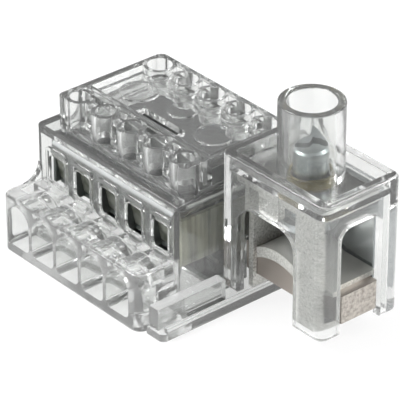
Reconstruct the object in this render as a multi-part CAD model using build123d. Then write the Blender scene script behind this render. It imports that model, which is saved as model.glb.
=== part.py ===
from build123d import *
import os

# Branch terminal block: a clear housing with two rows of push-in wire entries at the front,
# a clear cover with test wells on top, and a screw clamp for the feed wire at the right.
# Sizes in millimetres. The origin is the middle of the housing's bottom face.
# +X runs along the rows to the clamp, the wire entries face -Y, and +Z is up.

# Housing shell
housing_length = 33.6
housing_depth = 31.4
housing_height = 19.3
housing_wall = 1.0
housing_top = 1.4
housing_corner = 1.0
step_depth = 7.1
step_height = 9.7
step_corner = 1.8
step_short = 0.4            # the step stops this much before the housing's right end
end_cheek = 1.3             # thickness of the step's left cheek
cheek_blend = 3.0           # radius of the cheek's curve up to the upper wall

# Rows of wire entries
pole_count = 5
pole_pitch = 6.15
pole_centre_x = 1.05
window_width = 3.4
window_height = 5.2
window_drop = 0.2           # the windows' middle below the middle of the upper front wall
window_radius = 0.9
window_frame = 0.55         # width of the raised frame round each window
window_frame_rise = 0.35
mouth_pitch = 6.0
mouth_centre_x = -0.7
mouth_width = 5.3
mouth_axis_z = 5.9
mouth_floor_z = 1.4
mouth_floor_radius = 1.1
mouth_depth = 4.4           # depth of the arched mouth, before its funnel
funnel_depth = 1.5
wire_hole_radius = 2.1
barrel_wall = 0.9           # wall of the half-round barrel over each mouth
barrel_front = 2.8          # where the barrels come out of the step's front band
ledge_pocket_depth = 1.2
ledge_pocket_width = 3.0
ledge_pocket_span = 1.1
front_pocket_depth = 2.0
front_pocket_width = 1.2

# Base plate
base_thickness = 1.2
foot_reach = 3.8            # how far the foot stands out past the housing
foot_setback = 1.1          # from the housing's front to the foot's front
foot_corner = 1.0
foot_rib_height = 4.7
foot_rib_width = 2.0
foot_rib_length = 13.2
foot_lip = 0.8
fit_gap = 0.1               # gap between a moulding and what it fits into

# Cover with test wells
cover_height = 5.3
cover_floor = 0.8
cover_wall = 1.2
cover_corner = 1.2
cover_margin = 0.15         # the cover's outline stands out past its wells by this much
cover_seat = 0.5            # width on which the cover rests on the housing
skirt_wall = 1.0
near_well_radius = 2.3
near_well_bore = 1.6
near_row_setback = 4.4      # from the upper front wall to the near wells' axes
far_well_radius = 2.6
far_well_bore = 2.0
far_well_depth = 2.8
far_well_floor = 0.8
far_row_setback = 4.1       # from the housing's rear face to the far wells' axes
test_hole_radius = 1.2
test_tube_radius = 1.9
web_thickness = 0.9
web_setback = 0.8           # the web's front face stands this much before the near wells' axes
web_slot_width = 1.1
web_slot_sill = 2.2
web_slot_head = 1.0
deck_height = 4.2           # level of the inner deck above the cover's seat
deck_thickness = 1.1
deck_rail_setback = 3.0     # from the near wells' axes to the middle rail
deck_rail_width = 1.0
badge_radius = 3.1
badge_rise = 0.4
badge_rim = 0.35
badge_sink = 0.15
badge_offset_x = 8.8
badge_setback = 5.8         # from the middle rail to the discs' centres
centre_boss_radius = 2.3
centre_boss_setback = 1.2   # from the discs' centres to the boss between them
deck_window_length = 9.6
deck_window_width = 2.6

# Busbar, rails and springs
busbar_setback = 8.3        # from the housing's rear face to the bar's middle
busbar_thickness = 4.7
busbar_bottom = 4.8
busbar_start = 3.4          # distance of the bar's hidden end from the housing's left face
sheet = 0.8
rail_rear_gap = 1.5         # the upper rail's roof reaches back under the far wells
rail_window_margin = 0.25   # the rail's front windows are this much larger than the housing's
link_sheet = 0.6
lower_rail_bottom = 2.6
lower_rail_height = 6.6
lower_rail_depth = 4.8
link_overlap = 1.0          # the link plate's reach down over the lower rail
link_top_gap = 1.0
spring_thickness = 0.5
spring_width = 3.4
spring_bend = 0.9
upper_spring_reach = (-0.4, 9.7, 8.9)   # corner of the bend, fixed end and tip behind the rail's front
lower_spring_reach = (-0.5, 3.7, 3.5)
spring_tip_gap = 0.1
access_hole_radius = 1.4
rivet_radius = 1.2
rivet_head_radius = 2.1
rivet_head_height = 0.9
rivet_spacing = 9.0
rivet_fit = 0.03

# Screw clamp
clamp_reach = 11.4          # distance of the screw's axis from the housing's right face
cap_length = 22.6
cap_width = 15.6
cap_bottom = 3.1
cap_top = 26.1
cap_corner = 1.5
cap_edge = 0.5
cap_wall = 1.6
tray_depth = 2.8
tray_floor = 1.6
chimney_radius = 5.05
chimney_bore = 3.72
chimney_top = 36.4
arch_width = 12.6
arch_top = 18.6
arch_shift = -1.2           # the side arches sit this far from the screw's axis
arch_radius = 3.5
entry_width = 8.2
entry_top = 21.0
entry_radius = 2.0
lug_width = 2.0
lug_height = 1.4
lug_depth = 0.8
lug_spacing = 10.0
lug_axis_z = 13.0
frame_length = 17.0
frame_sheet = 1.2
frame_side = 1.0
strap_width = 4.2
frame_band = 1.8
tab_width = 4.2
tab_drop = 3.7              # from the frame's top to the end of the folded tabs
tab_shift = -1.4
tab_proud = 0.2
collar_radius = 3.5
collar_height = 1.0
end_plate_margin = 0.5
running_gap = 0.3
saddle_sheet = 0.8
saddle_flange = 1.0
saddle_bow = 1.2
saddle_bow_length = 9.0
saddle_gap = 0.2            # between the saddle's flanges and the bar's sides
screw_radius = 3.0
screw_fit = 0.05
screw_end_radius = 2.7
screw_end_length = 3.75
screw_thread_length = 7.85
screw_top = 29.0
screw_tip_radius = 2.2
screw_slot_width = 1.2
screw_slot_depth = 1.7
pad_radius = 3.6
pad_thickness = 1.6
pad_socket = 0.9

# Places worked out from the sizes
left_x = -housing_length / 2
right_x = housing_length / 2
front_y = -housing_depth / 2
rear_y = housing_depth / 2
upper_front_y = front_y + step_depth
cavity_front_y = upper_front_y + housing_wall
cavity_rear_y = rear_y - housing_wall
ceiling_z = housing_height - housing_top
pole_x = [pole_centre_x + (i - (pole_count - 1) / 2) * pole_pitch for i in range(pole_count)]
mouth_x = [mouth_centre_x + (i - (pole_count - 1) / 2) * mouth_pitch for i in range(pole_count)]
window_axis_z = (step_height + ceiling_z) / 2 - window_drop
near_row_y = upper_front_y + near_row_setback
far_row_y = rear_y - far_row_setback
deck_rail_y = near_row_y + deck_rail_setback
badge_y = deck_rail_y + badge_setback
cover_x0 = pole_x[0] - far_well_radius - cover_margin
cover_x1 = pole_x[-1] + far_well_radius + cover_margin
cover_y0 = near_row_y - near_well_radius - cover_margin
cover_y1 = far_row_y + far_well_radius + cover_margin
cover_centre_x = (cover_x0 + cover_x1) / 2
cover_top_z = housing_height + cover_height
deck_z = housing_height + deck_height
cup_z = cover_top_z - far_well_depth - far_well_floor
foot_x = right_x + foot_reach
frame_inner = cap_width - 2 * (cap_wall + running_gap + frame_side)
end_plate_width = frame_inner - 2 * end_plate_margin
saddle_width = frame_inner - 2 * running_gap
busbar_width = saddle_width - 2 * (saddle_sheet + saddle_gap)
busbar_y = rear_y - busbar_setback
bar_front_y = busbar_y - busbar_width / 2
bar_rear_y = busbar_y + busbar_width / 2
bar_top_z = busbar_bottom + busbar_thickness
rail_x0 = left_x + busbar_start
rail_x1 = right_x - housing_wall - fit_gap - link_sheet
rail_middle_x = (rail_x0 + rail_x1) / 2
rail_front_y = cavity_front_y + fit_gap
upper_rail_rear_y = cavity_rear_y - rail_rear_gap
lower_rail_front_y = bar_front_y - lower_rail_depth
lower_floor_z = lower_rail_bottom + sheet
lower_roof_z = lower_rail_bottom + lower_rail_height - sheet
upper_floor_z = bar_top_z + sheet
upper_rail_height = ceiling_z - fit_gap - bar_top_z
upper_roof_z = bar_top_z + upper_rail_height - sheet
axis_x = right_x + clamp_reach
axis_y = busbar_y
cap_x0 = right_x + fit_gap
cap_x1 = cap_x0 + cap_length
cap_ceiling = cap_top - tray_depth - tray_floor
frame_top = cap_ceiling - fit_gap
bar_end_x = cap_x1 - running_gap
pad_bottom = screw_top - screw_end_length - screw_thread_length - pad_thickness - running_gap / 3


def block(x0, x1, y0, y1, z0, z1):
    """A plain block between two values on each axis."""
    middle = Pos((x0 + x1) / 2, (y0 + y1) / 2, (z0 + z1) / 2)
    return middle * Box(x1 - x0, y1 - y0, z1 - z0)


def rounded_block(x0, x1, y0, y1, z0, z1, radius):
    """A block whose four upright edges are rounded."""
    outline = RectangleRounded(x1 - x0, y1 - y0, radius)
    return Pos((x0 + x1) / 2, (y0 + y1) / 2, z0) * extrude(outline, z1 - z0)


def along_x(outline, x0, x1):
    """Extrudes an outline drawn in Y and Z from x0 to x1."""
    return extrude(Plane.YZ.offset(x0) * outline, x1 - x0)


def along_y(outline, y0, y1):
    """Extrudes an outline drawn in X and Z from y0 to y1."""
    plane = Plane(origin=(0, y1, 0), x_dir=(1, 0, 0), z_dir=(0, -1, 0))
    return extrude(plane * outline, y1 - y0)


def post(x, y, z0, z1, radius):
    """An upright cylinder."""
    return Pos(x, y, (z0 + z1) / 2) * Cylinder(radius, z1 - z0)


def mouth_outline(x, grow):
    """The arched outline of a lower wire entry: round above, flat below with soft corners."""
    half = mouth_width / 2 + grow
    drop = mouth_axis_z - mouth_floor_z + grow
    lower = Pos(x, mouth_axis_z - drop / 2) * Rectangle(2 * half, drop)
    lower = fillet(lower.vertices().sort_by(Axis.Y)[:2], mouth_floor_radius)
    upper = Pos(x, mouth_axis_z) * Circle(half)
    return lower + upper


def mouth_passage(x):
    """The way in for a lower wire: arched mouth, funnel, and round hole into the cavity."""
    funnel_y = front_y + mouth_depth
    passage = along_y(mouth_outline(x, 0), front_y - 1, funnel_y)
    wide = Plane(origin=(x, funnel_y, mouth_axis_z), z_dir=(0, 1, 0))
    cone = Pos(0, 0, funnel_depth / 2) * Cone(mouth_width / 2 - 0.1, wire_hole_radius, funnel_depth)
    hole_y = funnel_y + funnel_depth - 0.2
    hole = along_y(Pos(x, mouth_axis_z) * Circle(wire_hole_radius), hole_y, cavity_front_y + 1)
    return passage + wide * cone + hole


def window_outline(x, grow):
    """The rounded outline of an upper wire entry."""
    size = RectangleRounded(window_width + 2 * grow, window_height + 2 * grow, window_radius + grow)
    return Pos(x, window_axis_z) * size


def housing_blank():
    """The solid outside form: the upper box and the lower step with its rounded corners."""
    box = rounded_block(left_x, right_x, upper_front_y, rear_y, 0, housing_height, housing_corner)
    rim = box.edges().group_by(Axis.Z)[-1]
    box = fillet(rim, housing_corner * 0.4)
    step_x1 = right_x - step_short
    step = rounded_block(left_x, step_x1, front_y, upper_front_y + step_corner, 0, step_height, step_corner)
    step = fillet(step.edges().group_by(Axis.Z)[-1], step_corner * 0.3)
    return box + step


def step_cheek():
    """The left cheek, which curves up from the step's top to the upper wall."""
    outline = plan(upper_front_y - cheek_blend, upper_front_y, step_height, step_height + cheek_blend)
    outline -= Pos(upper_front_y - cheek_blend, step_height + cheek_blend) * Circle(cheek_blend)
    overlap = Pos(upper_front_y + housing_corner / 2, step_height) * Rectangle(housing_corner, cheek_blend)
    return along_x(outline + overlap, left_x + housing_corner * 0.3, left_x + end_cheek)


def step_valleys():
    """What is cut between the half-round barrels on top of the step."""
    top = step_height + 1
    low = mouth_axis_z + mouth_width * 0.2
    y1 = upper_front_y - ledge_pocket_span - 0.6
    cut = block(left_x + end_cheek, right_x - end_cheek, front_y + barrel_front, y1, low, top)
    for x in mouth_x:
        keep = along_y(mouth_outline(x, barrel_wall), front_y + barrel_front - 1, y1 + 1)
        cut -= keep
    return cut


def step_pockets():
    """The core-outs seen on the step's front face and along its back ledge."""
    pockets = []
    half = front_pocket_width / 2
    for x in mouth_x[1:]:
        corner = Polygon((-half, 0), (half, 0), (0, -front_pocket_width), align=None)
        spot = Pos(x - mouth_pitch / 2, step_height - barrel_wall) * corner
        pockets.append(along_y(spot, front_y - 1, front_y + front_pocket_depth))
    ledge_y = upper_front_y - ledge_pocket_span
    for x in pole_x:
        pockets.append(block(x - ledge_pocket_width / 2, x + ledge_pocket_width / 2, ledge_y,
                             upper_front_y - 0.2, step_height - ledge_pocket_depth, step_height + 1))
    return pockets


def make_housing():
    """The clear shell: open below, with both rows of wire entries through its front."""
    body = housing_blank() + step_cheek()
    body -= step_valleys()
    for pocket in step_pockets():
        body -= pocket
    inner_x = right_x - housing_wall
    body -= block(-inner_x, inner_x, cavity_front_y, cavity_rear_y, -1, ceiling_z)
    body -= block(cover_x0 + cover_seat, cover_x1 - cover_seat, cover_y0 + cover_seat, cover_y1 - cover_seat,
                  ceiling_z - 1, housing_height + 1)
    for x in pole_x:
        frame = window_outline(x, window_frame)
        body += along_y(frame, upper_front_y - window_frame_rise, upper_front_y + 0.3)
        body -= along_y(window_outline(x, 0), upper_front_y - 2, cavity_front_y + 1)
    for x in mouth_x:
        body -= mouth_passage(x)
    slot = busbar_width / 2 + 0.15
    body -= block(inner_x - 1, right_x + 1, busbar_y - slot, busbar_y + slot, -1, bar_top_z + 0.15)
    body -= block(inner_x - 1, right_x + 1, cavity_front_y, cavity_rear_y, -1, base_thickness + fit_gap)
    for side in (-1, 1):
        y = axis_y + side * lug_spacing / 2
        half = lug_width / 2 + fit_gap
        tall = lug_height / 2 + fit_gap
        body -= block(right_x - lug_depth - fit_gap, right_x + 1, y - half, y + half,
                      lug_axis_z - tall, lug_axis_z + tall)
    return body


def make_base_plate():
    """The clear floor, with the foot that stands out under the clamp and its rib."""
    y0 = cavity_front_y + fit_gap
    y1 = cavity_rear_y - fit_gap
    plate = block(left_x + housing_wall + fit_gap, right_x, y0, y1, 0, base_thickness)
    foot_y0 = front_y + foot_setback
    foot_x0 = right_x + fit_gap - foot_corner
    foot = rounded_block(foot_x0, foot_x, foot_y0, y1, 0, base_thickness, foot_corner)
    foot -= block(right_x - 2 * foot_corner, right_x + fit_gap, foot_y0 - 1, y0, -1, base_thickness + 1)
    plate += foot
    rib_x0 = right_x + fit_gap
    plate += block(rib_x0, rib_x0 + foot_rib_width, foot_y0 + 0.5, foot_y0 + 0.5 + foot_rib_length,
                   0, foot_rib_height)
    lip_y1 = y1 - foot_corner
    plate += block(foot_x - foot_lip, foot_x, foot_y0 + foot_corner, lip_y1, 0, base_thickness + foot_lip)
    plate += block(rail_x0 + 1, rail_x1 - 1, lower_rail_front_y + 1, bar_front_y - 1,
                   base_thickness, lower_rail_bottom)
    for side in (-1, 1):
        x = rail_middle_x + side * rivet_spacing / 2
        plate += block(x - 1, x + 1, bar_front_y + 1, bar_rear_y - 1, base_thickness, busbar_bottom)
    return plate


def circles(centres, y, radius):
    """One circle at each centre of a row."""
    return Sketch() + [Pos(x, y) * Circle(radius) for x in centres]


def plan(x0, x1, y0, y1):
    """A plain rectangle seen from above."""
    return Pos((x0 + x1) / 2, (y0 + y1) / 2) * Rectangle(x1 - x0, y1 - y0)


def inset_plan(inset, radius):
    """The cover's outline seen from above, made smaller all round."""
    size = RectangleRounded(cover_x1 - cover_x0 - 2 * inset, cover_y1 - cover_y0 - 2 * inset, radius)
    return Pos(cover_centre_x, (cover_y0 + cover_y1) / 2) * size


def upright(outline, z0, z1):
    """Extrudes an outline seen from above between two heights."""
    return extrude(Plane.XY.offset(z0) * outline, z1 - z0)


def cover_walls():
    """The cover's upright walls seen from above: sides, rear, web, middle rail and wells."""
    web_y = near_row_y - web_setback
    walls = inset_plan(0, cover_corner) - inset_plan(cover_wall, cover_corner * 0.3)
    side = near_well_radius / 2
    walls -= plan(pole_x[0] - side, pole_x[-1] + side, cover_y0 - 1, web_y)
    walls += plan(cover_x0, cover_x1, web_y, web_y + web_thickness)
    walls += plan(cover_x0, cover_x1, deck_rail_y - deck_rail_width / 2, deck_rail_y + deck_rail_width / 2)
    return walls + circles(pole_x, near_row_y, near_well_radius)


def deck_plate():
    """The deck behind the middle rail, with two bare discs, a boss and a window."""
    low = deck_z - deck_thickness
    inset = cover_wall / 2
    deck = upright(plan(cover_x0 + inset, cover_x1 - inset, deck_rail_y, cover_y1 - inset), low, deck_z)
    for side in (-1, 1):
        x = cover_centre_x + side * badge_offset_x
        deck += post(x, badge_y, low, deck_z + badge_rise, badge_radius)
        deck -= post(x, badge_y, deck_z + badge_rise - badge_sink, deck_z + 1, badge_radius - badge_rim)
    deck += post(cover_centre_x, badge_y + centre_boss_setback, low, deck_z + badge_rise, centre_boss_radius)
    half = deck_window_length / 2
    window_y = deck_rail_y + deck_rail_width / 2 + 0.4
    return deck - block(cover_centre_x - half, cover_centre_x + half, window_y, window_y + deck_window_width,
                        low - 1, deck_z + 1)


def make_cover():
    """The clear cover: a walled tray with a row of test wells along each long side."""
    z0 = housing_height
    floor = inset_plan(0, cover_corner)
    floor -= plan(cover_x0 + cover_wall, cover_x1 - cover_wall, deck_rail_y, cover_y1 - cover_wall)
    cover = upright(floor, z0, z0 + cover_floor) + upright(cover_walls(), z0, cover_top_z)
    cover += deck_plate()
    cover += upright(circles(pole_x, far_row_y, far_well_radius), cup_z, cover_top_z)
    cover += upright(circles(pole_x, far_row_y, test_tube_radius), z0, cup_z + far_well_floor / 2)
    skirt_inset = cover_seat + fit_gap
    ring = inset_plan(skirt_inset, cover_corner * 0.5)
    ring -= inset_plan(skirt_inset + skirt_wall, cover_corner * 0.2)
    cover += upright(ring, ceiling_z, z0)
    web_y = near_row_y - web_setback
    for x in pole_x[1:]:
        middle = x - pole_pitch / 2
        cover -= block(middle - web_slot_width / 2, middle + web_slot_width / 2, web_y - 1,
                       web_y + web_thickness + 0.3, z0 + web_slot_sill, cover_top_z - web_slot_head)
    cover -= upright(circles(pole_x, near_row_y, near_well_bore), ceiling_z - 1, cover_top_z + 1)
    cup_floor_z = cover_top_z - far_well_depth
    cover -= upright(circles(pole_x, far_row_y, far_well_bore), cup_floor_z, cover_top_z + 1)
    return cover - upright(circles(pole_x, far_row_y, test_hole_radius), ceiling_z - 1, cover_top_z)


def rivet_places():
    """X positions of the rivets that hold the upper rail to the busbar."""
    return [rail_middle_x + i * rivet_spacing for i in (-1, 0, 1)]


def make_busbar():
    """The thick tinned copper bar that joins all poles and ends as the clamp's tongue."""
    bar = block(rail_x0, bar_end_x, bar_front_y, bar_rear_y, busbar_bottom, bar_top_z)
    ends = bar.edges().filter_by(Axis.Z)
    bar = fillet(ends, busbar_width * 0.05)
    for x in rivet_places():
        bar -= post(x, busbar_y, busbar_bottom - 1, bar_top_z + 1, rivet_radius + rivet_fit)
    return bar


def channel(bottom, height, front_y, rear_y):
    """A folded rail, open to the front: floor, rear wall and roof of one sheet."""
    outline = plan(front_y, rear_y, bottom, bottom + height)
    outline -= plan(front_y - 1, rear_y - sheet, bottom + sheet, bottom + height - sheet)
    bends = outline.vertices().filter_by(lambda v: v.X > rear_y - 0.01)
    return along_x(fillet(bends, sheet * 0.9), rail_x0, rail_x1)


def make_lower_rail():
    """The stamped rail of the lower row. It lies on the base plate, against the busbar."""
    return channel(lower_rail_bottom, lower_rail_height, lower_rail_front_y, bar_front_y)


def make_upper_rail():
    """The stamped cage of the upper row, riveted to the busbar: a window before each spring
    and a hole over it."""
    rail = channel(bar_top_z, upper_rail_height, rail_front_y, upper_rail_rear_y)
    front_z0 = upper_floor_z + fit_gap
    rail += block(rail_x0, rail_x1, rail_front_y, rail_front_y + sheet, front_z0, upper_roof_z + sheet)
    for x in pole_x:
        outline = window_outline(x, rail_window_margin)
        rail -= along_y(outline, rail_front_y - 1, rail_front_y + sheet + 1)
        rail -= post(x, near_row_y, upper_roof_z - 1, upper_roof_z + sheet + 1, access_hole_radius)
    for x in rivet_places():
        rail -= post(x, busbar_y, bar_top_z - 1, upper_floor_z + 1, rivet_radius + rivet_fit)
    return rail


def make_link_plate():
    """The upright plate that joins both rails at their right end, notched over the busbar."""
    plate = block(rail_x1, rail_x1 + link_sheet, rail_front_y + 0.4, upper_rail_rear_y - 0.6,
                  lower_roof_z + sheet - link_overlap, upper_roof_z - link_top_gap)
    notch = block(rail_x1 - 1, rail_x1 + link_sheet + 1, bar_front_y - 0.1, upper_rail_rear_y,
                  busbar_bottom, bar_top_z)
    return plate - notch


def make_spring(x, front_y, reach, floor_z, roof_z):
    """A push-in leaf spring: fixed leg under the roof, tight bend, and sloping clamping leg."""
    corner_y, fixed_y, tip_y = [front_y + distance for distance in reach]
    high = roof_z - spring_thickness / 2
    low = floor_z + spring_thickness / 2 + spring_tip_gap
    path = FilletPolyline((x, fixed_y, high), (x, corner_y, high), (x, tip_y, low), radius=spring_bend)
    start = Plane(origin=path @ 0, x_dir=(1, 0, 0), z_dir=path % 0)
    return sweep(start * Rectangle(spring_width, spring_thickness), path=path)


def make_rivet(x):
    """A zinc plated rivet with a domed head on the rail and a flat tail under the bar."""
    head = Pos(x, busbar_y, upper_floor_z) * Cylinder(rivet_head_radius, rivet_head_height,
                                                      align=(Align.CENTER, Align.CENTER, Align.MIN))
    head = fillet(head.edges().group_by(Axis.Z)[-1], rivet_head_height * 0.6)
    shank = post(x, busbar_y, busbar_bottom - 0.4, upper_floor_z, rivet_radius)
    return head + shank


def make_cap():
    """The clear clamp cap: open below, with side arches, a wire entry, a tray and a chimney."""
    y0 = axis_y - cap_width / 2
    y1 = axis_y + cap_width / 2
    cap = rounded_block(cap_x0, cap_x1, y0, y1, cap_bottom, cap_top, cap_corner)
    levels = cap.edges().group_by(Axis.Z)
    cap = fillet(levels[0] + levels[-1], cap_edge)
    inner_radius = cap_corner - cap_wall * 0.6
    cap -= rounded_block(cap_x0 + cap_wall, cap_x1 - cap_wall, y0 + cap_wall, y1 - cap_wall,
                         cap_bottom - 1, cap_ceiling, inner_radius)
    cap -= rounded_block(cap_x0 + cap_wall, cap_x1 - cap_wall, y0 + cap_wall, y1 - cap_wall,
                         cap_ceiling + tray_floor, cap_top + 1, inner_radius)
    cap += post(axis_x, axis_y, cap_ceiling, chimney_top, chimney_radius)
    cap -= post(axis_x, axis_y, cap_ceiling - 1, chimney_top + 1, chimney_bore)
    cap = fillet(cap.edges().group_by(Axis.Z)[-1], cap_edge / 2)
    arch = RectangleRounded(arch_width, 2 * (arch_top - cap_bottom), arch_radius)
    cap -= along_y(Pos(axis_x + arch_shift, cap_bottom) * arch, y0 - 1, y1 + 1)
    entry = RectangleRounded(entry_width, 2 * (entry_top - cap_bottom), entry_radius)
    cap -= along_x(Pos(axis_y, cap_bottom) * entry, axis_x, cap_x1 + 1)
    slot = busbar_width / 2 + 0.15
    cap -= block(cap_x0 - 1, axis_x, axis_y - slot, axis_y + slot, cap_bottom - 1, bar_top_z + 0.15)
    for side in (-1, 1):
        y = axis_y + side * lug_spacing / 2
        cap += block(cap_x0 - fit_gap - lug_depth, cap_x0 + 0.5, y - lug_width / 2, y + lug_width / 2,
                     lug_axis_z - lug_height / 2, lug_axis_z + lug_height / 2)
    return cap


def make_clamp_frame():
    """The bent steel frame that holds the screw's thread and hooks under the busbar's tongue."""
    half = frame_inner / 2 + frame_side
    x0 = axis_x - frame_length / 2
    x1 = axis_x + frame_length / 2
    bottom = busbar_bottom - fit_gap - frame_side
    frame = block(x0, x1, axis_y - half, axis_y + half, frame_top - frame_sheet, frame_top)
    tab = Pos(axis_x + tab_shift, frame_top) * RectangleRounded(tab_width, 2 * tab_drop, tab_width / 6)
    tab -= plan(x0, x1, frame_top, frame_top + tab_drop + 1)
    for y0 in (axis_y - half - tab_proud, axis_y + half - frame_side):
        frame += along_y(tab, y0, y0 + frame_side + tab_proud)
    frame += post(axis_x, axis_y, frame_top - frame_sheet, frame_top + collar_height, collar_radius)
    for y0 in (axis_y - half, axis_y + half - frame_side):
        band_z0 = frame_top - frame_sheet - frame_band
        frame += block(x0 + frame_side, x1, y0, y0 + frame_side, band_z0, frame_top)
        frame += block(x1 - strap_width, x1, y0, y0 + frame_side, bottom, frame_top)
    frame += block(x1 - strap_width, x1, axis_y - half, axis_y + half, bottom, bottom + frame_side)
    plate = block(x0, x0 + frame_side, axis_y - end_plate_width / 2, axis_y + end_plate_width / 2,
                  bottom - frame_side, frame_top)
    opening = busbar_width / 2 + fit_gap
    plate -= block(x0 - 1, x0 + frame_side + 1, axis_y - opening, axis_y + opening,
                   busbar_bottom - fit_gap, bar_top_z + fit_gap)
    frame += plate
    return frame - post(axis_x, axis_y, 0, frame_top + collar_height + 1, screw_radius + screw_fit)


def make_wire_saddle():
    """The bowed sheet on the tongue that the feed wire is pressed on, with a flange each side."""
    x0 = axis_x - frame_length / 2 + frame_side + 1.0
    x1 = x0 + saddle_bow_length
    x2 = cap_x1 - cap_wall - running_gap
    z0 = bar_top_z
    rise = z0 + saddle_bow
    top = saddle_sheet
    lines = [ThreePointArc((x0, z0), ((x0 + x1) / 2, rise), (x1, z0)), Line((x1, z0), (x2, z0)),
             Line((x2, z0), (x2, z0 + top)), Line((x2, z0 + top), (x1, z0 + top)),
             ThreePointArc((x1, z0 + top), ((x0 + x1) / 2, rise + top), (x0, z0 + top)),
             Line((x0, z0 + top), (x0, z0))]
    sheet_outline = make_face(Curve() + lines)
    half = saddle_width / 2
    saddle = along_y(sheet_outline, axis_y - half, axis_y + half)
    drop = saddle_flange
    lines = [ThreePointArc((x0, z0 - drop), ((x0 + x1) / 2, rise - drop), (x1, z0 - drop)),
             Line((x1, z0 - drop), (x1, z0 + top)),
             ThreePointArc((x1, z0 + top), ((x0 + x1) / 2, rise + top), (x0, z0 + top)),
             Line((x0, z0 + top), (x0, z0 - drop))]
    flange_outline = make_face(Curve() + lines)
    saddle += along_y(flange_outline, axis_y - half, axis_y - half + saddle_sheet)
    saddle += along_y(flange_outline, axis_y + half - saddle_sheet, axis_y + half)
    return saddle


def make_pressure_pad():
    """The loose round pad on the screw's tip. It goes down with the screw and doesn't turn."""
    pad = post(axis_x, axis_y, pad_bottom, pad_bottom + pad_thickness, pad_radius)
    pad = fillet(pad.edges().group_by(Axis.Z)[0], pad_thickness * 0.4)
    socket_z = pad_bottom + pad_thickness - pad_socket
    return pad - post(axis_x, axis_y, socket_z, pad_bottom + pad_thickness + 1, screw_tip_radius + screw_fit)


def make_screw():
    """The slotted clamping screw: plain slotted end, threaded length and turned tip."""
    end_z = screw_top - screw_end_length
    thread_z = end_z - screw_thread_length
    tip_z = pad_bottom + pad_thickness - pad_socket + screw_fit
    end = post(axis_x, axis_y, end_z, screw_top, screw_end_radius)
    end = chamfer(end.edges().group_by(Axis.Z)[-1], 0.3)
    thread = post(axis_x, axis_y, thread_z, end_z, screw_radius)
    thread = chamfer(thread.edges().group_by(Axis.Z)[0], 0.5)
    screw = end + thread + post(axis_x, axis_y, tip_z, thread_z, screw_tip_radius)
    reach = screw_end_radius + 1
    slot = block(-reach, reach, -screw_slot_width / 2, screw_slot_width / 2, -screw_slot_depth, 1)
    return screw - Pos(axis_x, axis_y, screw_top) * Rot(0, 0, 48) * slot


def build_all():
    """Every piece by its node name."""
    pieces = {
        "housing": make_housing(), "base_plate": make_base_plate(), "cover": make_cover(),
        "busbar": make_busbar(), "lower_rail": make_lower_rail(), "upper_rail": make_upper_rail(),
        "link_plate": make_link_plate(), "clamp_cap": make_cap(), "clamp_frame": make_clamp_frame(),
        "wire_saddle": make_wire_saddle(), "pressure_pad": make_pressure_pad(), "clamp_screw": make_screw(),
    }
    for i in range(pole_count):
        pieces[f"lower_spring_{i + 1}"] = make_spring(mouth_x[i], lower_rail_front_y, lower_spring_reach,
                                                      lower_floor_z, lower_roof_z)
        pieces[f"upper_spring_{i + 1}"] = make_spring(pole_x[i], rail_front_y, upper_spring_reach,
                                                      upper_floor_z, upper_roof_z)
    for i, x in enumerate(rivet_places()):
        pieces[f"rail_rivet_{i + 1}"] = make_rivet(x)
    return pieces


os.makedirs("parts", exist_ok=True)
for name, piece in build_all().items():
    export_step(piece, f"parts/{name}.step")
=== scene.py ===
import math

import bmesh
import bpy
from bpy.props import FloatProperty, FloatVectorProperty, PointerProperty, StringProperty
from mathutils import Matrix, Vector


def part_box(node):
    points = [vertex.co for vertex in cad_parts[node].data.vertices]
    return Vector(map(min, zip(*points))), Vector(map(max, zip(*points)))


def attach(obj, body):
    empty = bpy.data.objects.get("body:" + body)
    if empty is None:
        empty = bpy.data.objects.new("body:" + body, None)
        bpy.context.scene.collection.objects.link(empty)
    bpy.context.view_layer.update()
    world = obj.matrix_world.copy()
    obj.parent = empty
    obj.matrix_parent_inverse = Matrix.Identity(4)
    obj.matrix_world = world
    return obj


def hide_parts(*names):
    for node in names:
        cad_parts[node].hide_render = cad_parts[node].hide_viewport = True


bl_info = {
    "name": "Branch Terminal Block",
    "version": (1, 0, 0),
    "blender": (4, 5, 0),
    "location": "View3D > Sidebar > Terminal Block",
    "description": "Dresses the clear branch terminal block and sets its studio",
    "category": "Object",
}

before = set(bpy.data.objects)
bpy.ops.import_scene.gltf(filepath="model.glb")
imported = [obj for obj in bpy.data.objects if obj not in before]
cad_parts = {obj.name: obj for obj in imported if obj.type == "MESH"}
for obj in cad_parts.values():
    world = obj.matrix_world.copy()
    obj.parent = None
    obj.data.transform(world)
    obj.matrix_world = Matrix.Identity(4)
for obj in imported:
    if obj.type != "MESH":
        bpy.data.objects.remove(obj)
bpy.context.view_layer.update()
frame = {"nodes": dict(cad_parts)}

MILLIMETRE = 0.001
RAIL_NODES = ("upper_rail", "lower_rail")

# Edges turned by more than this stay sharp, and corners nearer than this are one
SHARP_ANGLE = math.radians(32)
WELD = 0.0002 * MILLIMETRE

# Light has to pass many clear walls, one behind another
CLEAR_WALL_BOUNCES = 32

# A Mix node's sockets: two colours in and one out, and two plain values in
COLOUR_A, COLOUR_B, MIXED_COLOUR = 6, 7, 2
VALUE_A, VALUE_B = 2, 3

# The upper wire entries in the CAD housing, and the wall that they are in
ENTRY_COUNT = 5
ENTRY_PITCH = 6.15 * MILLIMETRE
FIRST_ENTRY_X = -11.25 * MILLIMETRE
ENTRY_Z = 13.6 * MILLIMETRE
WALL_FACE_Y = -8.6 * MILLIMETRE
WALL = 1.0 * MILLIMETRE

# The plain frames on that wall: how far they reach past the outer windows, and their height
FRAMES_LEFT, FRAMES_RIGHT = 2.5 * MILLIMETRE, 3.4 * MILLIMETRE
FRAMES_BOTTOM, FRAMES_TOP = 10.2 * MILLIMETRE, 17.2 * MILLIMETRE

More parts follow.
